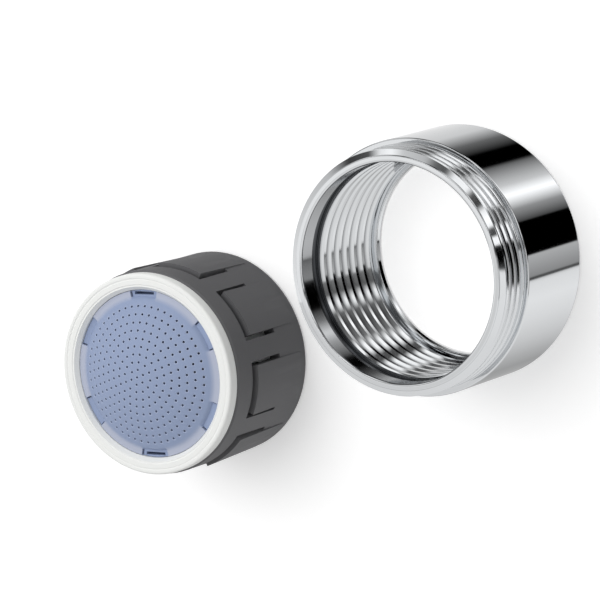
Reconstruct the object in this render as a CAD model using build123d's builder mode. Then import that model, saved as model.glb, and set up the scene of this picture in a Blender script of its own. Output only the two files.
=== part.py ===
# Tap aerator, taken apart: a chrome-plated brass housing, and beside it the plastic cartridge
# that drops into it. Both stand on their outlet ends, with the inlet ends up.
# The origin is on the ground in the middle of the pair: the housing stands on the +X side
# and the cartridge on the -X side. Sizes are in millimetres.

import os
from math import asin, atan, cos, degrees, hypot, radians, sin, sqrt

from build123d import *

os.makedirs("parts", exist_ok=True)

# Housing: M24 x 1 outside thread that screws into the spout, and a socket for the cartridge
thread_diameter = 24.0
thread_length = 3.5
thread_wall = 1.4
lip_chamfer = 0.6
lip_chamfer_height = 0.4
shoulder_width = 0.6
body_height = 10.0
edge_chamfer = 0.25
counterbore_step = 0.15
counterbore_depth = 1.9
undercut_step = 0.4
undercut_width = 1.2
ledge_width = 0.5
ledge_height = 0.8

# Cartridge: distance between the two axes, and the play of its pieces in each other
cartridge_spacing = 32.0
socket_clearance = 0.3
fit_clearance = 0.05

# Cartridge shell
shell_wall = 1.2
shell_edge = 0.3
rim_height = 0.6
rim_step = 0.6
tongue_count = 8
tongue_angle = 28.0
tongue_turn = 14.0
tongue_rise = 0.3
tongue_foot_rise = 0.05
tongue_foot_height = 1.2
tongue_slot_height = 0.6
tongue_side_slot = 0.45
tongue_side_length = 4.4
tongue_pocket = 0.35

# Sealing washer
washer_thickness = 1.2
washer_inset = 0.15
washer_edge = 0.2
washer_width = 1.65
washer_land = 0.75
washer_groove = 0.12
washer_lip_drop = 0.5

# Inlet screen: perforated dome with a snap rim
screen_flange_height = 0.8
screen_band_width = 0.65
screen_band_wall = 1.0
dome_radius = 15.4
dome_thickness = 0.6
hole_rings = 4
hole_field_inset = 1.2
hole_diameter = 0.55
tab_count = 6
tab_turn = 10.0
tab_angle = 22.0
tab_depth = 0.2
tab_slot_length = 1.9
tab_slot_width = 0.22
tab_slot_depth = 0.7

# Flow regulator: a seat with a hub, and a rubber ring round the hub
regulator_height = 0.8
regulator_hub_diameter = 4.4
regulator_hub_height = 1.6
regulator_wall_height = 1.2
regulator_wall_thickness = 0.6
regulator_ring_section = 1.5
regulator_ring_play = 0.2
regulator_window_count = 6
regulator_window_angle = 38.0

# Jet plate
jet_plate_height = 0.9
jet_count = 18
jet_diameter = 1.0
jet_inset = 1.85

# Spacer ring with air windows
spacer_height = 3.7
spacer_wall = 0.75
spacer_frame = 0.7

# Mixing screens
mixing_screen_count = 3
mixing_screen_height = 1.0
mixing_rim_width = 0.9
mixing_cell = 1.9
mixing_bar = 0.8
mixing_turn = 30.0

# Outlet grid
grid_height = 2.6
grid_rim_width = 0.75
grid_cell = 1.6
grid_bar = 0.4

# Radii and heights that follow from the sizes above
thread_radius = thread_diameter / 2
body_radius = thread_radius + shoulder_width
socket_radius = thread_radius - thread_wall
counterbore_radius = socket_radius + counterbore_step
undercut_radius = socket_radius + undercut_step
ledge_radius = socket_radius - ledge_width
housing_height = body_height + thread_length

shell_radius = socket_radius - socket_clearance
shell_bore = shell_radius - shell_wall
inner_radius = shell_bore - fit_clearance
washer_radius = shell_radius - washer_inset
washer_inner = washer_radius - washer_width
band_radius = washer_inner - fit_clearance
dome_edge = band_radius - screen_band_width
hole_pitch = (dome_edge - hole_field_inset) / hole_rings

grid_base = rim_height
mesh_base = grid_base + grid_height
spacer_base = mesh_base + mixing_screen_count * mixing_screen_height
jet_base = spacer_base + spacer_height
regulator_base = jet_base + jet_plate_height
flange_base = regulator_base + regulator_height
washer_base = flange_base + screen_flange_height
cartridge_height = washer_base + washer_thickness
band_top = cartridge_height - washer_lip_drop - fit_clearance
dome_centre = band_top - sqrt(dome_radius**2 - dome_edge**2)

housing_x = (cartridge_spacing + shell_radius + tongue_rise - body_radius) / 2
cartridge_x = housing_x - cartridge_spacing
housing_side = Plane(origin=(housing_x, 0, 0), x_dir=(1, 0, 0), z_dir=(0, -1, 0))
housing_axis = Axis((housing_x, 0, 0), (0, 0, 1))
cartridge_axis = Axis((cartridge_x, 0, 0), (0, 0, 1))
tongue_angles = [tongue_turn + index * 360 / tongue_count for index in range(tongue_count)]
tab_angles = [tab_turn + index * 360 / tab_count for index in range(tab_count)]


def cartridge_level(height):
    """Level plane on the cartridge's axis, at a height above its outlet end."""
    return Plane(origin=(cartridge_x, 0, height))


def cartridge_side(angle=0.0):
    """Upright plane through the cartridge's axis: local x is the radius, local y the height."""
    across = (cos(radians(angle)), sin(radians(angle)), 0)
    facing = (sin(radians(angle)), -cos(radians(angle)), 0)
    return Plane(origin=(cartridge_x, 0, 0), x_dir=across, z_dir=facing)


def dome_under(radius):
    """Height of the dome's underside at a radius."""
    return dome_centre + sqrt((dome_radius - dome_thickness) ** 2 - radius**2)


def cells_within(spots, cell_reach, limit):
    """The spots of a pattern whose whole cell lies within a round limit."""
    return [spot for spot in spots if hypot(spot.position.X, spot.position.Y) + cell_reach <= limit]


# Housing, turned in one piece
with BuildPart() as housing:
    with BuildSketch(housing_side):
        with BuildLine():
            Polyline(
                (ledge_radius, 0),
                (body_radius - edge_chamfer, 0),
                (body_radius, edge_chamfer),
                (body_radius, body_height - edge_chamfer),
                (body_radius - edge_chamfer, body_height),
                (thread_radius, body_height),
                (thread_radius, housing_height - lip_chamfer_height),
                (thread_radius - lip_chamfer, housing_height),
                (counterbore_radius, housing_height),
                (counterbore_radius, housing_height - counterbore_depth),
                (undercut_radius, housing_height - counterbore_depth),
                (undercut_radius, housing_height - counterbore_depth - undercut_width),
                (socket_radius, housing_height - counterbore_depth - undercut_width),
                (socket_radius, ledge_height),
                (ledge_radius, ledge_height),
                close=True,
            )
        make_face()
    revolve(axis=housing_axis)
housing.part.label = "housing"

# Sealing washer: flat land outside, a fine groove, then a slope down to the screen
with BuildPart() as sealing_washer:
    with BuildSketch(cartridge_side()):
        with BuildLine():
            Polyline(
                (washer_inner, washer_base),
                (washer_radius, washer_base),
                (washer_radius, cartridge_height - washer_edge),
                (washer_radius - washer_edge, cartridge_height),
                (washer_inner + washer_land, cartridge_height),
                (washer_inner + washer_land - washer_groove, cartridge_height - washer_groove),
                (washer_inner, cartridge_height - washer_lip_drop),
                close=True,
            )
        make_face()
    revolve(axis=cartridge_axis)
sealing_washer.part.label = "sealing_washer"

# Inlet screen: dome, flat band round it, and the flange that the washer holds down
band_inner = band_radius - screen_band_wall
dome_rise = degrees(asin(dome_edge / dome_radius))
with BuildPart() as inlet_screen:
    with BuildSketch(cartridge_side()):
        with BuildLine():
            outside = CenterArc((0, dome_centre), dome_radius, 90 - dome_rise, dome_rise)
            # The hidden underside follows the dome on two cones
            Polyline(
                outside @ 1,
                (0, dome_under(0)),
                (band_inner / 2, dome_under(band_inner / 2)),
                (band_inner, dome_under(band_inner)),
                (band_inner, flange_base),
                (inner_radius, flange_base),
                (inner_radius, washer_base),
                (band_radius, washer_base),
                (band_radius, band_top),
                outside @ 0,
            )
        make_face()
    revolve(axis=cartridge_axis)
    # Six places where the band is let down for the snap tabs; two opposite ones have a slot
    with BuildSketch(cartridge_level(band_top)):
        for angle in tab_angles:
            with PolarLocations((dome_edge + band_radius) / 2, 1, start_angle=angle):
                Rectangle(screen_band_width * 3, tab_angle * band_radius * radians(1))
        Circle(band_radius + fit_clearance, mode=Mode.INTERSECT)
        Circle(dome_edge + fit_clearance, mode=Mode.SUBTRACT)
    extrude(amount=-tab_depth, mode=Mode.SUBTRACT)
    with BuildSketch(cartridge_level(band_top)):
        for angle in tab_angles[1::3]:
            with PolarLocations(band_radius - screen_band_width / 2, 1, start_angle=angle):
                Rectangle(tab_slot_width, tab_slot_length)
    extrude(amount=-tab_slot_depth, mode=Mode.SUBTRACT)
    # Holes in rings of six more each time. The real ones are finer and round:
    # here they are fewer, larger and cut square, to keep the faces few.
    with BuildSketch(cartridge_level(flange_base)):
        RegularPolygon(hole_diameter / 2, 4)
        for ring in range(1, hole_rings + 1):
            with PolarLocations(ring * hole_pitch, 6 * ring):
                RegularPolygon(hole_diameter / 2, 4)
    extrude(amount=dome_centre + dome_radius - flange_base, mode=Mode.SUBTRACT)
inlet_screen.part.label = "inlet_screen"

# Flow regulator seat: a disc with a hub in an open channel
hub_radius = regulator_hub_diameter / 2
channel_radius = hub_radius + regulator_ring_section + 2 * regulator_ring_play
channel_middle = (hub_radius + channel_radius) / 2
wall_radius = channel_radius + regulator_wall_thickness
with BuildPart() as regulator_seat:
    with BuildSketch(cartridge_side()):
        with BuildLine():
            Polyline(
                (0, regulator_base),
                (inner_radius, regulator_base),
                (inner_radius, flange_base),
                (wall_radius, flange_base),
                (wall_radius, flange_base + regulator_wall_height),
                (channel_radius, flange_base + regulator_wall_height),
                (channel_radius, flange_base),
                (hub_radius, flange_base),
                (hub_radius, flange_base + regulator_hub_height),
                (0, flange_base + regulator_hub_height),
                close=True,
            )
        make_face()
    revolve(axis=cartridge_axis)
    for index in range(regulator_window_count):
        with BuildSketch(cartridge_side(index * 360 / regulator_window_count)):
            with Locations((channel_middle, regulator_base + regulator_height / 2)):
                Rectangle(regulator_ring_section, regulator_height)
        revolve(axis=cartridge_axis, revolution_arc=regulator_window_angle, mode=Mode.SUBTRACT)
regulator_seat.part.label = "regulator_seat"

# Regulator ring: a rubber ring that squeezes against the hub as the pressure rises
with BuildPart() as regulator_ring:
    with BuildSketch(cartridge_side()):
        with Locations((channel_middle, flange_base + regulator_ring_section / 2)):
            Rectangle(regulator_ring_section, regulator_ring_section)
    revolve(axis=cartridge_axis)
regulator_ring.part.label = "regulator_ring"

# Jet plate: splits the water into a ring of jets, cut with six flats apiece
with BuildPart() as jet_plate:
    with BuildSketch(cartridge_level(jet_base)):
        Circle(inner_radius)
        with PolarLocations(inner_radius - jet_inset, jet_count):
            RegularPolygon(jet_diameter / 2, 6, mode=Mode.SUBTRACT)
    extrude(amount=jet_plate_height)
jet_plate.part.label = "jet_plate"

# Spacer ring: keeps the air chamber open, with a window behind each tongue
with BuildPart() as spacer_ring:
    with BuildSketch(cartridge_level(spacer_base)):
        Circle(inner_radius)
        Circle(inner_radius - spacer_wall, mode=Mode.SUBTRACT)
    extrude(amount=spacer_height)
    for angle in tongue_angles:
        with BuildSketch(cartridge_side(angle - tongue_angle / 2)):
            with Locations((inner_radius - spacer_wall / 2, spacer_base + spacer_height / 2)):
                Rectangle(spacer_wall * 2, spacer_height - 2 * spacer_frame)
        revolve(axis=cartridge_axis, revolution_arc=tongue_angle, mode=Mode.SUBTRACT)
spacer_ring.part.label = "spacer_ring"


def make_mixing_screen(index):
    """Disc with a square mesh. Each one is turned a little from the one below."""
    base = mesh_base + index * mixing_screen_height
    pitch = mixing_cell + mixing_bar
    across = int(2 * inner_radius / pitch) + 1
    mesh_limit = inner_radius - mixing_rim_width
    turned = cartridge_level(base).rotated((0, 0, index * mixing_turn))
    spots = GridLocations(pitch, pitch, across, across).local_locations
    with BuildPart() as mixing_screen:
        with BuildSketch(turned):
            Circle(inner_radius)
            with Locations(cells_within(spots, mixing_cell / sqrt(2), mesh_limit)):
                Rectangle(mixing_cell, mixing_cell, mode=Mode.SUBTRACT)
        extrude(amount=mixing_screen_height)
    mixing_screen.part.label = f"mixing_screen_{index + 1}"
    return mixing_screen.part


mixing_screens = [make_mixing_screen(index) for index in range(mixing_screen_count)]

# Outlet grid: honeycomb that straightens the stream, laid out as two grids, one between the other
grid_pitch = grid_cell + grid_bar
grid_across = 2 * int(inner_radius / grid_pitch) + 1
grid_limit = inner_radius - grid_rim_width
comb = []
for across in (grid_across, grid_across + 1):
    comb += GridLocations(sqrt(3) * grid_pitch, grid_pitch, across, across).local_locations
with BuildPart() as outlet_grid:
    with BuildSketch(cartridge_level(grid_base)):
        Circle(inner_radius)
        with Locations(cells_within(comb, grid_cell / sqrt(3), grid_limit)):
            RegularPolygon(grid_cell / 2, 6, major_radius=False, mode=Mode.SUBTRACT)
    extrude(amount=grid_height)
outlet_grid.part.label = "outlet_grid"

# Shell of the cartridge: a tube with an inward rim, and sprung tongues cut from its wall
tongue_top = jet_base - tongue_slot_height
side_slot_angle = degrees(atan(tongue_side_slot / shell_radius))
with BuildPart() as cartridge_shell:
    with BuildSketch(cartridge_side()):
        with BuildLine():
            Polyline(
                (shell_bore - rim_step, 0),
                (shell_radius - shell_edge, 0),
                (shell_radius, shell_edge),
                (shell_radius, washer_base - washer_inset),
                (shell_radius - washer_inset, washer_base),
                (shell_bore, washer_base),
                (shell_bore, rim_height),
                (shell_bore - rim_step, rim_height),
                close=True,
            )
        make_face()
    revolve(axis=cartridge_axis)
    for angle in tongue_angles:
        # The tongue stands out most at its free upper edge
        with BuildSketch(cartridge_side(angle - tongue_angle / 2)):
            with BuildLine():
                Polyline(
                    (shell_radius - shell_edge, tongue_foot_height),
                    (shell_radius + tongue_foot_rise, tongue_foot_height),
                    (shell_radius + tongue_rise, tongue_top),
                    (shell_radius - shell_edge, tongue_top),
                    close=True,
                )
            make_face()
        revolve(axis=cartridge_axis, revolution_arc=tongue_angle)
        # Slot over the free edge
        slot_turn = tongue_angle + 2 * side_slot_angle
        with BuildSketch(cartridge_side(angle - slot_turn / 2)):
            with Locations((shell_radius - shell_wall / 2, jet_base - tongue_slot_height / 2)):
                Rectangle(shell_wall * 3, tongue_slot_height)
        revolve(axis=cartridge_axis, revolution_arc=slot_turn, mode=Mode.SUBTRACT)
        # Slots down both sides
        for side_start in (angle - slot_turn / 2, angle + tongue_angle / 2):
            with BuildSketch(cartridge_side(side_start)):
                with Locations((shell_radius - shell_wall / 2, tongue_top - tongue_side_length / 2)):
                    Rectangle(shell_wall * 3, tongue_side_length + 2 * fit_clearance)
            revolve(axis=cartridge_axis, revolution_arc=side_slot_angle, mode=Mode.SUBTRACT)
        # Room behind the tongue for it to give
        with BuildSketch(cartridge_side(angle - tongue_angle / 2)):
            with Locations((shell_bore + tongue_pocket / 2, tongue_top - tongue_side_length / 2)):
                Rectangle(tongue_pocket, tongue_side_length + 2 * fit_clearance)
        revolve(axis=cartridge_axis, revolution_arc=tongue_angle, mode=Mode.SUBTRACT)
cartridge_shell.part.label = "cartridge_shell"

pieces = [
    housing.part,
    sealing_washer.part,
    inlet_screen.part,
    regulator_seat.part,
    regulator_ring.part,
    jet_plate.part,
    spacer_ring.part,
    *mixing_screens,
    outlet_grid.part,
    cartridge_shell.part,
]
for piece in pieces:
    export_step(piece, f"parts/{piece.label}.step")
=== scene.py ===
# Tap aerator taken apart: a chrome housing, and beside it the plastic cartridge that drops into it
from math import atan2, cos, hypot, pi, radians, sin, sqrt, tan

import bmesh
import bpy
from mathutils import Matrix, Vector


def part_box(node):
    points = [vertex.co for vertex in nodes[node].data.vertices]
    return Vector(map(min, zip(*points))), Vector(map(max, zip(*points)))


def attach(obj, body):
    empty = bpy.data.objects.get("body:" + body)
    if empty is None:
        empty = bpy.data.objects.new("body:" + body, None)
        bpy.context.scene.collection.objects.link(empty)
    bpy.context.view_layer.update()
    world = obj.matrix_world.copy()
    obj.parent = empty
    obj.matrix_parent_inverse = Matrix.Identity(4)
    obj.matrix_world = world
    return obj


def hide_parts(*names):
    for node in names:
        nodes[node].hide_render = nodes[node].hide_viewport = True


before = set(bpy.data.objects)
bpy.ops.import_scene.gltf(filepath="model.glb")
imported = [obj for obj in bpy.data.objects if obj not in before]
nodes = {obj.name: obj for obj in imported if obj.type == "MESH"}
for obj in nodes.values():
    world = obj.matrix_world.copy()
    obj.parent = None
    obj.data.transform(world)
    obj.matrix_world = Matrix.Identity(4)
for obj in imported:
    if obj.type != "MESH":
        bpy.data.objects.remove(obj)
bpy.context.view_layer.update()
mm = 0.001  # all sizes below are in millimetres, and angles in degrees

# points nearer than a weld are one point, and a point within wallSlack of a radius lies on that wall
meshing = {"seamWeld": 0.0005, "solidWeld": 0.001, "flatAngle": 1, "sharpAngle": 32, "wallSlack": 0.02}

# helpers


def linearColor(text):
    values = [int(text[i:i + 2], 16) / 255 for i in (1, 3, 5)]
    return tuple([v / 12.92 if v <= 0.04045 else ((v + 0.055) / 1.055) ** 2.4 for v in values] + [1.0])


def addNode(tree, kind, inputs=None, **settings):
    # inputs maps a socket's name or number to a value, or to the node or output socket that feeds it
    node = tree.nodes.new(kind)
    for key, value in settings.items():
        setattr(node, key, value)
    for key, value in (inputs or {}).items():
        socket = node.inputs[key]
        for one in value if isinstance(value, list) else [value]:
            if isinstance(one, bpy.types.Node):
                one = one.outputs[0]
            if isinstance(one, bpy.types.NodeSocket):
                tree.links.new(one, socket)
            else:
                socket.default_value = one
    return node


def newMaterial(name, shade):
    # shade is the function that fills the tree and gives back its last shader
    material = bpy.data.materials.new(name)
    material.use_nodes = True
    tree = material.node_tree
    tree.nodes.clear()
    addNode(tree, "ShaderNodeOutputMaterial", {"Surface": shade(tree)})
    return material


def roundCorners(points, steps=3):
    # points are (radius, height, fillet); each fillet gets its arc, and a support point either side
    out = []
    count = len(points)
    for i, (x, z, fillet) in enumerate(points):
        corner = Vector((x, z))
        if fillet <= 0:
            out.append(corner)
            continue
        before = (Vector(points[i - 1][:2]) - corner).normalized()
        after = (Vector(points[(i + 1) % count][:2]) - corner).normalized()
        half = before.angle(after) / 2
        run = fillet / tan(half)
        middle = corner + (before + after).normalized() * (fillet / sin(half))
        start, end = corner + before * run, corner + after * run
        support = fillet / 4
        out.append(start + before * support)
        for step in range(steps + 1):
            spoke = (start - middle).lerp(end - middle, step / steps)
            out.append(middle + spoke.normalized() * fillet)
        out.append(end + after * support)
    return [(p.x, p.y) for p in out]


def windRows(points, radius, thread):
    # puts rows that climb with a screw thread on the straight run that lies at this radius
    out = []
    pitch, crest, root, soft = thread["Pitch"], thread["Crest"] / 2, thread["Root"] / 2, thread["Soft"]
    edges = (0.5 - crest, 0.5 + crest, root, 1 - root)
    shares = sorted(edge + step for edge in edges for step in (-soft, 0, soft))
    for i, point in enumerate(points):
        out.append(point)
        nextX, nextZ = points[(i + 1) % len(points)][:2]
        x, z = point[:2]
        onWall = max(abs(x - radius), abs(nextX - radius)) < meshing["wallSlack"]
        if not onWall or abs(nextZ - z) < pitch:
            continue
        low, high = min(z, nextZ), max(z, nextZ)
        turns = range(int(low / pitch) - 2, int(high / pitch) + 2)
        heights = [(turn + share - thread["Phase"]) * pitch for turn in turns for share in shares]
        rows = [(radius, h, low, high, pitch) for h in heights if low - pitch <= h <= high]
        out += rows if nextZ > z else rows[::-1]
    return out


def latheMesh(name, profile, segments, shape=None):
    # closed (radius, height) profile turned round Z; a row with a pitch climbs between its two heights
    verts, faces = [], []
    rows = len(profile)
    for k in range(segments + 1):
        angle = 2 * pi * k / segments
        for r, z, *climb in profile:
            if climb:
                z = min(max(z + climb[2] * k / segments, climb[0]), climb[1])
            if shape:
                r, z = shape(r, z, angle % (2 * pi))
            verts.append((r * cos(angle) * mm, r * sin(angle) * mm, z * mm))
    for k in range(segments):
        near, far = k * rows, (k + 1) * rows
        for j in range(rows):
            up = (j + 1) % rows
            faces.append((near + j, far + j, far + up, near + up))
    mesh = bpy.data.meshes.new(name)
    mesh.from_pydata(verts, [], faces)
    work = bmesh.new()
    work.from_mesh(mesh)
    bmesh.ops.remove_doubles(work, verts=work.verts, dist=meshing["seamWeld"] * mm)
    bmesh.ops.recalc_face_normals(work, faces=work.faces)
    work.to_mesh(mesh)
    work.free()
    return mesh


def meshVolume(mesh):
    mesh.calc_loop_triangles()
    corners = [v.co for v in mesh.vertices]
    tris = [[corners[i] for i in t.vertices] for t in mesh.loop_triangles]
    return sum(a.dot(b.cross(c)) for a, b, c in tris) / 6


def placePiece(name, mesh, centreX, material, sharpAngle=meshing["sharpAngle"]):
    # moves the mesh to its place, turns its faces out and shows it as one object at the origin
    mesh.transform(Matrix.Translation((centreX * mm, 0, 0)))
    if meshVolume(mesh) < 0:
        mesh.flip_normals()
    mesh.shade_smooth()
    mesh.set_sharp_from_angle(angle=radians(sharpAngle))
    if not mesh.materials:
        mesh.materials.append(material)
    piece = bpy.data.objects.new(name, mesh)
    bpy.context.scene.collection.objects.link(piece)
    return piece


def runNodes(mesh, group, values):
    # runs a geometry node group on a mesh and gives back a plain mesh
    carrier = bpy.data.objects.new("carrier", mesh)
    bpy.context.scene.collection.objects.link(carrier)
    modifier = carrier.modifiers.new("nodes", "NODES")
    modifier.node_group = group
    for item in group.interface.items_tree:
        if item.item_type == "SOCKET" and item.in_out == "INPUT" and item.name in values:
            modifier[item.identifier] = values[item.name]
    seen = carrier.evaluated_get(bpy.context.evaluated_depsgraph_get())
    result = bpy.data.meshes.new_from_object(seen)
    bpy.data.objects.remove(carrier)
    return result


def newNodeGroup(name, floats=(), whole=(), materials=()):
    # gives back a new geometry node group with these named inputs, and the sockets they come in by
    group = bpy.data.node_groups.new(name, "GeometryNodeTree")
    group.interface.new_socket("Geometry", in_out="INPUT", socket_type="NodeSocketGeometry")
    for kind, names in (("NodeSocketFloat", floats), ("NodeSocketInt", whole),
                        ("NodeSocketMaterial", materials)):
        for label in names:
            group.interface.new_socket(label, in_out="INPUT", socket_type=kind)
    group.interface.new_socket("Geometry", in_out="OUTPUT", socket_type="NodeSocketGeometry")
    return group, addNode(group, "NodeGroupInput").outputs


# places, from the frame

housingLow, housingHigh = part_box("housing")
washerLow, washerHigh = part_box("sealing_washer")
housingX = (housingLow[0] + housingHigh[0]) / 2 / mm
cartridgeX = (washerLow[0] + washerHigh[0]) / 2 / mm
print("stage: places", round(housingX, 3), round(cartridgeX, 3))

# materials

# root is the darker grey painted into the thread roots and recesses as their shade
chromePaint = {"polished": "#E2E4E6", "root": "#4E5053", "roughness": 0.05, "rootRoughness": 0.2,
               "rootShadeFrom": 0.35, "crestRoughness": 0.45, "crestFrom": 0.8}


def chromeShader(tree):
    # painted shade: where the attribute groove is high, in the thread roots and the recesses, the chrome is
    # painted a darker grey and left rougher, as the shade down in them; the crests of the threads are
    # rubbed, so that each shows as a soft bright line
    groove = addNode(tree, "ShaderNodeAttribute", attribute_name="groove").outputs["Fac"]
    groove = addNode(tree, "ShaderNodeMapRange", {0: groove, 1: chromePaint["rootShadeFrom"]})
    tint = addNode(tree, "ShaderNodeMix", {
        "Factor": groove, 6: linearColor(chromePaint["polished"]), 7: linearColor(chromePaint["root"])},
        data_type="RGBA").outputs[2]
    rough = addNode(tree, "ShaderNodeMapRange", {
        0: groove, 3: chromePaint["roughness"], 4: chromePaint["rootRoughness"]})
    crest = addNode(tree, "ShaderNodeAttribute", attribute_name="crest").outputs["Fac"]
    rubbed = addNode(tree, "ShaderNodeMapRange", {
        0: crest, 1: chromePaint["crestFrom"], 4: chromePaint["crestRoughness"]})
    rough = addNode(tree, "ShaderNodeMath", {0: rough, 1: rubbed}, operation="MAXIMUM")
    return addNode(tree, "ShaderNodeBsdfPrincipled", {
        "Base Color": tint, "Metallic": 1.0, "Roughness": rough})


# Chrome-plated brass, turned and polished: a clear mirror with a slightly blue-grey tint
chromePlate = newMaterial("chromePlatedBrass", chromeShader)

# Silicone washer, moulded: white and dull
siliconeWasher = newMaterial("siliconeWasher", lambda tree: addNode(tree, "ShaderNodeBsdfPrincipled", {
    "Base Color": linearColor("#ECEDEB"), "Roughness": 0.5, "IOR": 1.41}))

# Acetal shell, moulded in dark grey: satin
shellPlastic = newMaterial("shellAcetal", lambda tree: addNode(tree, "ShaderNodeBsdfPrincipled", {
    "Base Color": linearColor("#626264"), "Roughness": 0.6, "IOR": 1.48}))

# Acetal inner pieces, natural white: satin
innerPlastic = newMaterial("innerAcetal", lambda tree: addNode(tree, "ShaderNodeBsdfPrincipled", {
    "Base Color": linearColor("#D9DADA"), "Roughness": 0.45, "IOR": 1.48}))

# Nitrile ring, moulded: black and dull
nitrileRubber = newMaterial("nitrileRubber", lambda tree: addNode(tree, "ShaderNodeBsdfPrincipled", {
    "Base Color": linearColor("#1C1C1D"), "Roughness": 0.6, "IOR": 1.52}))

# housing

housingSizes = {
    "bodyRadius": 12.6, "bodyHeight": 10.0, "height": 13.5, "threadRadius": 12.0,
    "lipRadius": 11.42, "lipEdge": 0.12, "lipChamfer": 0.38, "lipEase": 0.05,
    "counterbore": 10.75, "counterboreDepth": 1.9, "counterboreShade": 0.67,
    "undercut": 11.0, "undercutWidth": 1.2, "socket": 10.6, "ledge": 10.1, "ledgeHeight": 0.8,
    "footFillet": 0.25, "shoulderFillet": 0.12, "threadFootFillet": 0.08, "threadTopFillet": 0.06,
    "lipFillet": 0.1, "mouthFillet": 0.2, "innerFillet": 0.05, "ledgeFillet": 0.08,
    "groovePlay": 0.08, "sharpAngle": 40, "segments": 360,
}
outsideThread = {"Pitch": 1.0, "Depth": 0.61, "Crest": 0.2, "Root": 0.2, "Phase": 0.0, "Low": 10.1,
                 "High": 13.6, "Fade": 0.3, "Outward": -1.0, "Rub": 1.0, "Soft": 0.03}
insideThread = {"Pitch": 1.37, "Depth": 0.5, "Crest": 0.3, "Root": 0.2, "Phase": 0.0, "Low": 0.4,
                "High": 10.6, "Fade": 0.4, "Outward": 1.0, "Rub": 0.85, "Soft": 0.05}


def threadGroup():
    # moves each point of a turned surface in or out by a screw groove that winds round Z; lengths in mm
    names = ("Pitch", "Depth", "Crest", "Root", "Phase", "Low", "High", "Fade", "Outward", "Rub", "Radius")
    group, given = newNodeGroup("screwThread", names, (), ("Material",))
    place = addNode(group, "GeometryNodeInputPosition")
    place = addNode(group, "ShaderNodeVectorMath", {0: place, "Scale": 1 / mm}, operation="SCALE")
    parts = addNode(group, "ShaderNodeSeparateXYZ", {0: place}).outputs
    flat = addNode(group, "ShaderNodeVectorMath", {0: place, 1: (1, 1, 0)}, operation="MULTIPLY")
    radial = addNode(group, "ShaderNodeVectorMath", {0: flat}, operation="LENGTH").outputs["Value"]
    # right-hand thread: the groove climbs as it goes round anticlockwise, seen from above
    angle = addNode(group, "ShaderNodeMath", {0: parts["Y"], 1: parts["X"]}, operation="ARCTAN2")
    climb = addNode(group, "ShaderNodeMath", {0: parts["Z"], 1: given["Pitch"]}, operation="DIVIDE")
    climb = addNode(group, "ShaderNodeMath", {0: climb, 1: given["Phase"]}, operation="ADD")
    winding = addNode(group, "ShaderNodeMath", {0: angle, 1: -0.5 / pi, 2: climb}, operation="MULTIPLY_ADD")
    # share runs from 0 in the middle of the groove to 1 in the middle of the crest
    share = addNode(group, "ShaderNodeMath", {0: winding, 1: 0.5}, operation="PINGPONG")
    share = addNode(group, "ShaderNodeMath", {0: share, 1: 2.0}, operation="MULTIPLY")
    crest = addNode(group, "ShaderNodeMath", {0: 1.0, 1: given["Crest"]}, operation="SUBTRACT")
    groove = addNode(group, "ShaderNodeMapRange", {0: share, 1: crest, 2: given["Root"]})
    aboveLow = addNode(group, "ShaderNodeMath", {0: parts["Z"], 1: given["Low"]}, operation="SUBTRACT")
    belowHigh = addNode(group, "ShaderNodeMath", {0: given["High"], 1: parts["Z"]}, operation="SUBTRACT")
    inside = addNode(group, "ShaderNodeMath", {0: aboveLow, 1: belowHigh}, operation="MINIMUM")
    zone = addNode(group, "ShaderNodeMapRange", {0: inside, 1: 0.0, 2: given["Fade"]})
    # only points that lie on the thread's own cylinder move
    onWall = addNode(group, "ShaderNodeMath", {
        0: radial, 1: given["Radius"], 2: meshing["wallSlack"]}, operation="COMPARE")
    cut = addNode(group, "ShaderNodeMath", {0: groove, 1: zone}, operation="MULTIPLY")
    cut = addNode(group, "ShaderNodeMath", {0: cut, 1: onWall}, operation="MULTIPLY")
    amount = addNode(group, "ShaderNodeMath", {0: given["Depth"], 1: mm}, operation="MULTIPLY")
    for factor in (given["Outward"], cut):
        amount = addNode(group, "ShaderNodeMath", {0: amount, 1: factor}, operation="MULTIPLY")
    outward = addNode(group, "ShaderNodeVectorMath", {0: flat}, operation="NORMALIZE")
    shift = addNode(group, "ShaderNodeVectorMath", {0: outward, "Scale": amount}, operation="SCALE")
    # the cut's depth stays on the points as the attribute groove, which the chrome reads as painted shade in
    # the roots
    earlier = addNode(group, "GeometryNodeInputNamedAttribute", {"Name": "groove"}).outputs["Attribute"]
    deepest = addNode(group, "ShaderNodeMath", {0: earlier, 1: cut}, operation="MAXIMUM")
    marked = addNode(group, "GeometryNodeStoreNamedAttribute", {
        "Geometry": given["Geometry"], "Name": "groove", "Value": deepest})
    # and what stays uncut of the thread's own zone is the attribute crest, times how rubbed it is
    uncut = addNode(group, "ShaderNodeMath", {0: 1.0, 1: groove}, operation="SUBTRACT")
    for factor in (zone, onWall, given["Rub"]):
        uncut = addNode(group, "ShaderNodeMath", {0: uncut, 1: factor}, operation="MULTIPLY")
    earlier = addNode(group, "GeometryNodeInputNamedAttribute", {"Name": "crest"}).outputs["Attribute"]
    uncut = addNode(group, "ShaderNodeMath", {0: earlier, 1: uncut}, operation="MAXIMUM")
    marked = addNode(group, "GeometryNodeStoreNamedAttribute", {
        "Geometry": marked, "Name": "crest", "Value": uncut})
    moved = addNode(group, "GeometryNodeSetPosition", {"Geometry": marked, "Offset": shift})
    whole = addNode(group, "GeometryNodeRealizeInstances", {0: moved})
    painted = addNode(group, "GeometryNodeSetMaterial", {0: whole, "Material": given["Material"]})
    addNode(group, "NodeGroupOutput", {0: painted})
    return group


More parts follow.
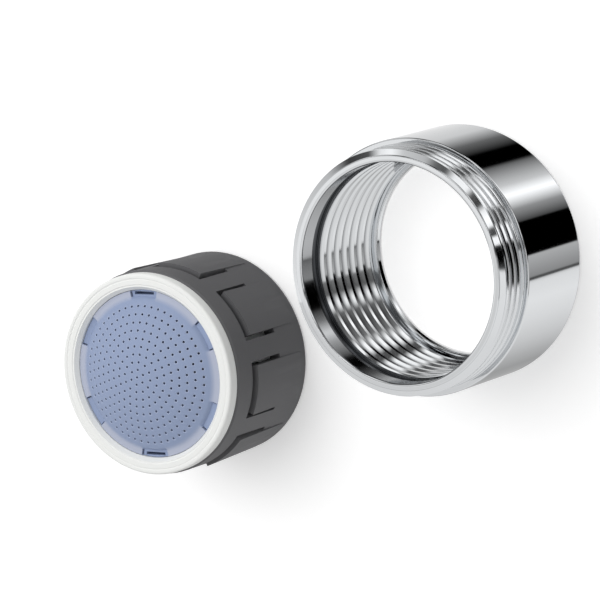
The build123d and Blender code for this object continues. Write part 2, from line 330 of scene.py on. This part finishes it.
size = housingSizes
shoulder = size["height"] - size["counterboreDepth"]
housingProfile = roundCorners([
    (size["ledge"], 0.0, size["footFillet"]),
    (size["bodyRadius"], 0.0, size["footFillet"]),
    (size["bodyRadius"], size["bodyHeight"], size["shoulderFillet"]),
    (size["threadRadius"], size["bodyHeight"], size["threadFootFillet"]),
    (size["threadRadius"], size["height"] - size["lipChamfer"], size["threadTopFillet"]),
    (size["lipRadius"], size["height"] - size["lipEdge"] - size["lipEase"], 0.0),
    (size["lipRadius"], size["height"], size["lipFillet"]),
    (size["counterbore"], size["height"], size["mouthFillet"]),
    (size["counterbore"], shoulder, size["innerFillet"]),
    (size["undercut"], shoulder, size["innerFillet"]),
    (size["undercut"], shoulder - size["undercutWidth"], size["innerFillet"]),
    (size["socket"], shoulder - size["undercutWidth"], size["innerFillet"]),
    (size["socket"], size["ledgeHeight"], size["innerFillet"]),
    (size["ledge"], size["ledgeHeight"], size["ledgeFillet"]),
])
housingProfile = windRows(housingProfile, size["threadRadius"], outsideThread)
housingProfile = windRows(housingProfile, size["socket"], insideThread)
housingMesh = latheMesh("housingTurned", housingProfile, size["segments"])
recessShade = []  # how much painted shade each point gets in the chrome: all of the undercut, and some of the counterbore
for vertex in housingMesh.vertices:
    reach, height = hypot(vertex.co.x, vertex.co.y) / mm, vertex.co.z / mm
    deep = shoulder - height
    inUndercut = abs(reach - size["undercut"]) < size["groovePlay"] and 0 < deep < size["undercutWidth"]
    onCounterbore = abs(reach - size["counterbore"]) < size["groovePlay"] and deep < 0
    recessShade.append(1.0 if inUndercut else size["counterboreShade"] if onCounterbore else 0.0)
# the recesses' painted shade goes into the same attribute groove as the thread roots
housingMesh.attributes.new("groove", "FLOAT", "POINT").data.foreach_set("value", recessShade)
threads = threadGroup()
for sizes, radius in ((outsideThread, size["threadRadius"]), (insideThread, size["socket"])):
    housingMesh = runNodes(housingMesh, threads, {**sizes, "Radius": radius, "Material": chromePlate})
housingPiece = placePiece("housingThreaded", housingMesh, housingX, chromePlate, size["sharpAngle"])
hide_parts("housing")
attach(housingPiece, "root")
print("stage: housing", len(housingMesh.polygons))

# sealing washer

washerSizes = {
    "outer": 10.15, "inner": 8.5, "low": 12.4, "high": 13.6, "mouthDrop": 0.5,
    "groove": 9.62, "grooveWidth": 0.12, "grooveDepth": 0.06, "faceDrop": 0.02,
    "land": 8.98, "landWidth": 0.12, "landDrop": 0.1, "landInnerDrop": 0.06,
    "footFillet": 0.12, "rimFillet": 0.25, "grooveFillet": 0.02, "floorFillet": 0.03, "innerFillet": 0.05,
    "mouthFillet": 0.1, "filletSteps": 5, "segments": 256,
}
size = washerSizes
washerProfile = roundCorners([
    (size["inner"], size["low"], size["innerFillet"]),
    (size["outer"], size["low"], size["footFillet"]),
    (size["outer"], size["high"], size["rimFillet"]),
    (size["groove"] + size["grooveWidth"], size["high"], size["grooveFillet"]),
    (size["groove"], size["high"] - size["grooveDepth"], size["floorFillet"]),
    (size["groove"] - size["grooveWidth"], size["high"] - size["faceDrop"], size["grooveFillet"]),
    (size["land"] + size["landWidth"], size["high"] - size["faceDrop"], size["floorFillet"]),
    (size["land"], size["high"] - size["landDrop"], size["innerFillet"]),
    (size["land"] - size["landWidth"], size["high"] - size["landInnerDrop"], size["innerFillet"]),
    (size["inner"], size["high"] - size["mouthDrop"], size["mouthFillet"]),
], size["filletSteps"])
washerPiece = placePiece("washerMoulded", latheMesh("washerMoulded", washerProfile, size["segments"]),
                         cartridgeX, siliconeWasher)
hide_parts("sealing_washer")
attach(washerPiece, "root")
print("stage: washer")

# inlet screen

screenSizes = {
    "flangeRadius": 9.05, "flangeLow": 11.6, "flangeHigh": 12.4, "bandRadius": 8.45, "bandTop": 13.05,
    "bandDepth": 0.3, "domeEdge": 7.8, "bandInner": 7.45, "domeRadius": 15.4, "domeThickness": 0.6,
    "domeSteps": 40, "poleRing": 0.02, "poleReach": 0.03, "poleHeight": 0.05, "slack": 0.01,
    "tabCount": 6, "tabTurn": 10.0, "tabAngle": 22.0, "tabDepth": 0.2, "tickInset": 0.4,
    "holeRings": 9, "holeSides": 12, "segments": 360,
}
holeSizes = {"Pitch": 0.77, "Hole": 0.125, "Halo": 0.185, "Halo depth": 0.035, "Drill depth": 1.8,
             "Drop from": 20.0, "Drop reach": 30.0}
slotSizes = {"Slot reach": 8.12, "Slot depth": 1.3, "Slot length": 2.3, "Slot width": 0.3,
             "Tick length": 0.13, "Tick width": 0.5}
size = screenSizes
tickTurn = size["tabAngle"] / 2 - size["tickInset"]
slotTurns = {  # two opposite tabs have a slot, and every tab has a tick at either end
    "Slots": 2, "Slot turn": radians(size["tabTurn"] + 360 / size["tabCount"]), "Ticks": size["tabCount"],
    "Left turn": radians(size["tabTurn"] + tickTurn), "Right turn": radians(size["tabTurn"] - tickTurn),
}
# rim is the paler colour painted on the hole rims as their highlight
screenPaint = {"dome": "#8F9DBB", "band": "#AEB4C6", "rim": "#A9B4CD", "bandFrom": 7.7, "blur": 0.5,
               "tabBlur": 1.5}


def screenShader(tree):
    # the thin band between the tabs lets the white washer show through, so it is paler and greyer
    paint, size = screenPaint, screenSizes
    spot = addNode(tree, "ShaderNodeTexCoord").outputs["Object"]
    spot = addNode(tree, "ShaderNodeVectorMath", {0: spot, 1: (cartridgeX * mm, 0, 0)}, operation="SUBTRACT")
    flat = addNode(tree, "ShaderNodeVectorMath", {0: spot, 1: (1, 1, 0)}, operation="MULTIPLY")
    reach = addNode(tree, "ShaderNodeVectorMath", {0: flat}, operation="LENGTH").outputs["Value"]
    outer = addNode(tree, "ShaderNodeMapRange", {
        0: reach, 1: (paint["bandFrom"] - paint["blur"] / 2) * mm,
        2: (paint["bandFrom"] + paint["blur"] / 2) * mm})
    parts = addNode(tree, "ShaderNodeSeparateXYZ", {0: spot}).outputs
    angle = addNode(tree, "ShaderNodeMath", {0: parts["Y"], 1: parts["X"]}, operation="ARCTAN2")
    angle = addNode(tree, "ShaderNodeMath", {0: angle, 1: radians(size["tabTurn"])}, operation="SUBTRACT")
    fromTab = addNode(tree, "ShaderNodeMath", {0: angle, 1: pi / size["tabCount"]}, operation="PINGPONG")
    between = addNode(tree, "ShaderNodeMapRange", {
        0: fromTab, 1: radians((size["tabAngle"] - paint["tabBlur"]) / 2),
        2: radians((size["tabAngle"] + paint["tabBlur"]) / 2)})
    pale = addNode(tree, "ShaderNodeMath", {0: outer, 1: between}, operation="MULTIPLY")
    tint = addNode(tree, "ShaderNodeMix", {
        "Factor": pale, 6: linearColor(paint["dome"]), 7: linearColor(paint["band"])},
        data_type="RGBA").outputs[2]
    # painted highlight: the countersunk rim of each hole is painted paler, where it catches the light
    rim = addNode(tree, "ShaderNodeAttribute", attribute_name="rim").outputs["Fac"]
    tint = addNode(tree, "ShaderNodeMix", {
        "Factor": rim, 6: tint, 7: linearColor(paint["rim"])}, data_type="RGBA").outputs[2]
    return addNode(tree, "ShaderNodeBsdfPrincipled", {"Base Color": tint, "Roughness": 0.55, "IOR": 1.49})


# Polypropylene screen, moulded in blue-grey: matt
screenPlastic = newMaterial("screenPolypropylene", screenShader)


def screenGroup(rings, sides):
    # cuts the rings of countersunk holes, and the tabs' slots, out of the moulded screen; lengths in metres
    group, given = newNodeGroup(
        "perforatedScreen", (*holeSizes, *slotSizes, "Band top", "Slot turn", "Left turn", "Right turn"),
        ("Slots", "Ticks"), ("Material",))
    spots = [addNode(group, "GeometryNodePoints", {"Count": 1})]
    for ring in range(1, rings + 1):
        reach = addNode(group, "ShaderNodeMath", {0: given["Pitch"], 1: ring}, operation="MULTIPLY")
        spots.append(addNode(group, "GeometryNodeMeshCircle", {"Vertices": 6 * ring, "Radius": reach}))
    # each spot drops on to the dome, and its hole stands square to the dome there
    place = addNode(group, "GeometryNodeInputPosition")
    above = addNode(group, "ShaderNodeCombineXYZ", {"Z": given["Drop from"]})
    above = addNode(group, "ShaderNodeVectorMath", {0: place, 1: above}, operation="ADD")
    dropped = addNode(group, "GeometryNodeRaycast", {
        "Target Geometry": given["Geometry"], "Source Position": above, "Ray Direction": (0, 0, -1),
        "Ray Length": given["Drop reach"]}).outputs
    tilt = addNode(group, "FunctionNodeAlignRotationToVector", {"Vector": dropped["Hit Normal"]}, axis="Z")
    drill = addNode(group, "GeometryNodeMeshCylinder", {
        "Vertices": sides, "Radius": given["Hole"], "Depth": given["Drill depth"]})
    # the countersink's cone goes on above the dome as far as it goes down below it
    wide = addNode(group, "ShaderNodeMath", {0: given["Halo"], 1: 2.0}, operation="MULTIPLY")
    wide = addNode(group, "ShaderNodeMath", {0: wide, 1: given["Hole"]}, operation="SUBTRACT")
    deep = addNode(group, "ShaderNodeMath", {0: given["Halo depth"], 1: 2.0}, operation="MULTIPLY")
    down = addNode(group, "ShaderNodeMath", {0: given["Halo depth"], 1: -1.0}, operation="MULTIPLY")
    sink = addNode(group, "GeometryNodeMeshCone", {
        "Vertices": sides, "Radius Top": wide, "Radius Bottom": given["Hole"], "Depth": deep})
    # the countersinks' faces are marked for the painted highlight on the hole rims
    sink = addNode(group, "GeometryNodeStoreNamedAttribute", {
        "Geometry": sink, "Name": "rim", "Value": 1.0}, domain="FACE")
    sink = addNode(group, "GeometryNodeTransform", {
        "Geometry": sink, "Translation": addNode(group, "ShaderNodeCombineXYZ", {"Z": down})})
    cutters = []
    for part in spots:
        moved = addNode(group, "GeometryNodeSetPosition", {
            "Geometry": part, "Position": dropped["Hit Position"]})
        for tool in (drill, sink):
            cutters.append(addNode(group, "GeometryNodeInstanceOnPoints", {
                "Points": moved, "Instance": tool, "Rotation": tilt}))
    index = addNode(group, "GeometryNodeInputIndex")
    start = addNode(group, "ShaderNodeCombineXYZ", {"X": given["Slot reach"], "Z": given["Band top"]})
    deep = addNode(group, "ShaderNodeMath", {0: given["Slot depth"], 1: 2.0}, operation="MULTIPLY")
    for count, turn, kind in (("Slots", "Slot turn", "Slot"), ("Ticks", "Left turn", "Tick"),
                              ("Ticks", "Right turn", "Tick")):
        step = addNode(group, "ShaderNodeMath", {0: 2 * pi, 1: given[count]}, operation="DIVIDE")
        around = addNode(group, "ShaderNodeMath", {
            0: index, 1: step, 2: given[turn]}, operation="MULTIPLY_ADD")
        spot = addNode(group, "ShaderNodeVectorRotate", {
            "Vector": start, "Angle": around}, rotation_type="Z_AXIS")
        stand = addNode(group, "GeometryNodePoints", {"Count": given[count], "Position": spot})
        block = addNode(group, "ShaderNodeCombineXYZ", {
            "X": given[kind + " width"], "Y": given[kind + " length"], "Z": deep})
        cutters.append(addNode(group, "GeometryNodeInstanceOnPoints", {
            "Points": stand, "Instance": addNode(group, "GeometryNodeMeshCube", {"Size": block}),
            "Rotation": addNode(group, "ShaderNodeCombineXYZ", {"Z": around})}))
    solids = [addNode(group, "GeometryNodeRealizeInstances", {0: cutter}) for cutter in cutters]
    drilled = addNode(group, "GeometryNodeMeshBoolean", {"Mesh 1": given["Geometry"], "Mesh 2": solids},
                      operation="DIFFERENCE", solver="MANIFOLD")
    whole = addNode(group, "GeometryNodeRealizeInstances", {0: drilled})
    painted = addNode(group, "GeometryNodeSetMaterial", {0: whole, "Material": given["Material"]})
    addNode(group, "NodeGroupOutput", {0: painted})
    return group


domeCentre = size["bandTop"] - sqrt(size["domeRadius"] ** 2 - size["domeEdge"] ** 2)


def domeHeight(radius, drop=0.0):
    return domeCentre + sqrt((screenSizes["domeRadius"] - drop) ** 2 - radius ** 2)


def bandLowered(r, z, angle):
    # the flat band, found within a small slack, steps down where the snap tabs are
    size, slack = screenSizes, screenSizes["slack"]
    if z < size["bandTop"] - slack or not size["domeEdge"] - slack <= r <= size["bandRadius"] + slack:
        return r, z
    step = 360 / size["tabCount"]
    fromTab = abs((angle * 180 / pi - size["tabTurn"] + step / 2) % step - step / 2)
    return r, z - (size["tabDepth"] if fromTab < size["tabAngle"] / 2 else 0.0)


shares = [k / size["domeSteps"] for k in range(size["domeSteps"] + 1)]
outerReaches = [size["domeEdge"] * (1 - share) for share in shares[:-1]]
innerReaches = [size["bandInner"] * share for share in shares[1:]]
outerDome = [(reach, domeHeight(reach)) for reach in outerReaches]
innerDome = [(reach, domeHeight(reach, size["domeThickness"])) for reach in innerReaches]
poleHeights = (domeHeight(0), domeHeight(0, size["domeThickness"]))
screenProfile = (
    [(size["bandInner"], size["flangeLow"]), (size["flangeRadius"], size["flangeLow"]),
     (size["flangeRadius"], size["flangeHigh"]), (size["bandRadius"], size["flangeHigh"]),
     (size["bandRadius"], size["bandTop"] - size["bandDepth"]), (size["bandRadius"], size["bandTop"])]
    + outerDome + [(size["poleRing"], height) for height in poleHeights] + innerDome)
screenMesh = latheMesh("screenMoulded", screenProfile, size["segments"], bandLowered)
print("stage: screen blank", len(screenMesh.polygons))
# the dome closes on tiny rings, which are merged into its poles
blank = bmesh.new()
blank.from_mesh(screenMesh)
for height in poleHeights:
    ring = [v for v in blank.verts if hypot(v.co.x, v.co.y) < size["poleReach"] * mm
            and abs(v.co.z - height * mm) < size["poleHeight"] * mm]
    bmesh.ops.pointmerge(blank, verts=ring, merge_co=Vector((0, 0, height * mm)))
bmesh.ops.recalc_face_normals(blank, faces=blank.faces)
blank.to_mesh(screenMesh)
blank.free()
lengths = {**holeSizes, **slotSizes, "Band top": size["bandTop"]}
lengths = {name: length * mm for name, length in lengths.items()}
perforation = screenGroup(size["holeRings"], size["holeSides"])
screenMesh = runNodes(screenMesh, perforation, {**lengths, **slotTurns, "Material": screenPlastic})
screenPiece = placePiece("screenPerforated", screenMesh, cartridgeX, screenPlastic)
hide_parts("inlet_screen")
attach(screenPiece, "root")
print("stage: inlet screen", len(screenMesh.polygons))

# shell and the pieces inside it

shellFinish = {"edge": 0.08, "steps": 2}
innerFinish = {"edge": 0.05, "steps": 1}


def eased(node, name, material, finish):
    # a copy of the solid with its corners eased, as moulding leaves them
    source = nodes[node]
    work = bmesh.new()
    work.from_mesh(source.data)
    bmesh.ops.remove_doubles(work, verts=work.verts, dist=meshing["solidWeld"] * mm)
    bmesh.ops.dissolve_limit(work, angle_limit=radians(meshing["flatAngle"]), verts=work.verts,
                             edges=work.edges)
    mesh = bpy.data.meshes.new(name)
    work.to_mesh(mesh)
    work.free()
    mesh.shade_smooth()
    mesh.set_sharp_from_angle(angle=radians(meshing["sharpAngle"]))
    mesh.materials.append(material)
    piece = bpy.data.objects.new(name, mesh)
    bpy.context.scene.collection.objects.link(piece)
    bevel = piece.modifiers.new("corners", "BEVEL")
    bevel.width = finish["edge"] * mm
    bevel.segments = finish["steps"]
    bevel.limit_method = "ANGLE"
    bevel.angle_limit = radians(meshing["sharpAngle"])
    bevel.harden_normals = True
    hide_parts(node)
    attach(piece, "root")
    return piece


eased("cartridge_shell", "shellMoulded", shellPlastic, shellFinish)
for node, material, slotName in (
    ("regulator_seat", innerPlastic, "inner_plastic"),
    ("regulator_ring", nitrileRubber, "regulator_rubber"),
    ("jet_plate", innerPlastic, "inner_plastic"),
    ("spacer_ring", innerPlastic, "inner_plastic"),
    ("mixing_screen_1", innerPlastic, "mesh_plastic"),
    ("mixing_screen_2", innerPlastic, "mesh_plastic"),
    ("mixing_screen_3", innerPlastic, "mesh_plastic"),
    ("outlet_grid", innerPlastic, "mesh_plastic"),
):
    eased(node, node.replace("_", "") + "Moulded", material, innerFinish)
print("stage: shell and inner pieces")

# table, light and camera

studio = {"floorHalf": 600, "floorColor": "#F2F2F2", "floorLift": 0.32, "ringPaintedLight": 0.62, "ringRadius": 10.0,
          "worldStrength": 0.55, "keyPower": 0.95, "keySize": 380, "keyPlace": (-60, 190, 320)}


def floorShader(tree):
    # the lift shows only to the camera, so it adds no light to the scene; inside the housing it is higher,
    # painted light over the floor where it lies in the ring's own shadow
    spot = addNode(tree, "ShaderNodeTexCoord").outputs["Object"]
    spot = addNode(tree, "ShaderNodeVectorMath", {0: spot, 1: (housingX * mm, 0, 0)}, operation="DISTANCE")
    lift = addNode(tree, "ShaderNodeMapRange", {
        0: spot.outputs["Value"], 1: studio["ringRadius"] * mm, 2: housingSizes["ledge"] * mm,
        3: studio["ringPaintedLight"], 4: studio["floorLift"]})
    seen = addNode(tree, "ShaderNodeLightPath").outputs["Is Camera Ray"]
    lift = addNode(tree, "ShaderNodeMath", {0: seen, 1: lift}, operation="MULTIPLY")
    plain = addNode(tree, "ShaderNodeBsdfDiffuse", {"Color": linearColor(studio["floorColor"])})
    glow = addNode(tree, "ShaderNodeEmission", {"Strength": lift})
    return addNode(tree, "ShaderNodeAddShader", {0: plain, 1: glow})


half = studio["floorHalf"] * mm
floorMesh = bpy.data.meshes.new("floor")
corners = [(-half, -half, 0), (half, -half, 0), (half, half, 0), (-half, half, 0)]
floorMesh.from_pydata(corners, [], [(0, 1, 2, 3)])
floorMesh.materials.append(newMaterial("studioFloor", floorShader))
floor = bpy.data.objects.new("floor", floorMesh)
floor.visible_glossy = False  # reflections see past the floor to the cards below it
bpy.context.scene.collection.objects.link(floor)

# The camera looks down at the photo's angle to the two axes, turned on its side as the photo shows them
cameraSizes = {"lens": 270.0, "sensor": 36.0, "clipStart": 10.0, "place": (250.7, -17.6, 371.9),
               "heading": -85.67, "down": 55.33, "roll": -106.87}
viewHeading = atan2(-cameraSizes["place"][1], housingX - cameraSizes["place"][0])

# The light is plain, but black and white cards stand all round for the chrome, and only reflections see
# them. Each row is the angle at which a card stands, from the side where the camera is, and its shade.
# The low cards show in the upright wall, the middle ones in the inside thread, and the top ones in the
# outside thread and the lip.
lowCards = [
    (-180, 0.6), (-160, 0.42), (-140, 0.38), (-122, 0.5), (-100, 0.7), (-78, 0.86), (-60, 0.95),
    (-44, 0.88), (-41.2, 0.65), (-41, 0.08), (-39, 0.08), (-38.8, 0.3), (-19, 0.52), (-18.8, 0.0),
    (12, 0.0), (12.4, 0.07), (24, 0.34), (37.6, 1.4), (48, 0.7), (68, 0.16), (71.2, 0.0), (88, 0.0),
    (104, 0.15), (124, 0.7), (160, 0.85), (180, 0.6)]
middleCards = [
    (-180, 0.75), (-120, 0.85), (-30, 0.85), (-11, 0.75), (-9, 0.2), (4, 0.12), (13, 1.1), (18, 1.0),
    (25, 0.15), (38, 0.1), (52, 0.2), (60, 1.2), (67, 1.2), (73, 0.1), (79, 0.1), (84, 1.2), (94, 1.1),
    (99, 0.1), (105, 0.15), (110, 0.6), (119, 0.7), (124, 1.2), (128, 1.0), (132, 0.1), (140, 0.05),
    (147, 0.6), (180, 0.75)]
topCards = [
    (-180, 0.75), (-120, 0.85), (-56, 0.95), (-51, 0.05), (-40, 0.0), (-8, 0.0), (-3, 1.2), (13, 1.3),
    (19, 0.05), (33, 0.1), (39, 1.2), (50, 1.4), (62, 1.1), (69, 0.05), (79, 0.1), (84, 1.2), (94, 1.1),
    (99, 0.1), (105, 0.15), (110, 0.6), (119, 0.7), (124, 1.2), (128, 1.0), (132, 0.1), (140, 0.05),
    (147, 0.6), (180, 0.75)]
# where one set of cards gives way to the next, on a scale from 0 at eye level to 1 straight overhead
cardHeights = {"lowEnd": 0.1, "middleStart": 0.3, "middleEnd": 0.86, "topStart": 0.89}

world = bpy.data.worlds.new("studio")
bpy.context.scene.world = world
world.use_nodes = True
tree = world.node_tree
tree.nodes.clear()
parts = addNode(tree, "ShaderNodeSeparateXYZ", {0: addNode(tree, "ShaderNodeTexCoord")}).outputs
angle = addNode(tree, "ShaderNodeMath", {0: parts["Y"], 1: parts["X"]}, operation="ARCTAN2")
angle = addNode(tree, "ShaderNodeMath", {0: angle, 1: viewHeading + pi}, operation="SUBTRACT")
angle = addNode(tree, "ShaderNodeMath", {0: angle, 1: pi, 2: -pi}, operation="WRAP")
share = addNode(tree, "ShaderNodeMapRange", {0: angle, 1: -pi, 2: pi})


def cardRamp(cards):
    ramp = addNode(tree, "ShaderNodeValToRGB", {0: share})
    stops = ramp.color_ramp.elements
    for place, shade in cards:
        stop = stops.new(0.5 + place / 360)
        stop.color = (shade, shade, shade, 1)
    stops.remove(stops[0])
    stops.remove(stops[len(stops) - 1])
    return ramp


bands = cardRamp(lowCards)
for cards, start, end in ((middleCards, "lowEnd", "middleStart"), (topCards, "middleEnd", "topStart")):
    above = addNode(tree, "ShaderNodeMapRange", {
        0: parts["Z"], 1: cardHeights[start], 2: cardHeights[end]})
    bands = addNode(tree, "ShaderNodeMix", {
        "Factor": above, 6: bands, 7: cardRamp(cards)}, data_type="RGBA").outputs[2]
# the camera sees white behind everything, and a plain, dimmer sky lights the pieces
path = addNode(tree, "ShaderNodeLightPath").outputs
plain = addNode(tree, "ShaderNodeMath", {
    0: path["Is Camera Ray"], 1: studio["worldStrength"]}, operation="MAXIMUM")
shade = addNode(tree, "ShaderNodeMix", {
    "Factor": path["Is Glossy Ray"], 6: plain, 7: bands}, data_type="RGBA").outputs[2]
sky = addNode(tree, "ShaderNodeBackground", {"Color": shade})
addNode(tree, "ShaderNodeOutputWorld", {"Surface": sky})


def aimAt(obj, target):
    obj.rotation_euler = (Vector(target) - obj.location).to_track_quat("-Z", "Y").to_euler()


keyData = bpy.data.lights.new("keyLamp", "AREA")
keyData.size = studio["keySize"] * mm
keyData.energy = studio["keyPower"]
keyLamp = bpy.data.objects.new("keyLamp", keyData)
keyLamp.location = [v * mm for v in studio["keyPlace"]]
keyLamp.visible_glossy = False  # the mirror sees the sky and its cards, and no glaring lamp
bpy.context.scene.collection.objects.link(keyLamp)
aimAt(keyLamp, (0, 0, 0))

cameraData = bpy.data.cameras.new("camera")
cameraData.lens = cameraSizes["lens"]
cameraData.sensor_width = cameraSizes["sensor"]
cameraData.clip_start = cameraSizes["clipStart"] * mm
camera = bpy.data.objects.new("camera", cameraData)
camera.location = [v * mm for v in cameraSizes["place"]]
heading, down = radians(cameraSizes["heading"]), radians(cameraSizes["down"])
forward = Vector((sin(heading) * cos(down), cos(heading) * cos(down), -sin(down)))
upright = forward.to_track_quat("-Z", "Y").to_matrix().to_4x4()
turnBy = Matrix.Rotation(radians(cameraSizes["roll"]), 4, "Z")
camera.rotation_euler = (upright @ turnBy).to_euler()
bpy.context.scene.collection.objects.link(camera)
bpy.context.scene.camera = camera
bpy.context.scene.view_settings.view_transform = "Standard"
print("stage: table, light and camera")
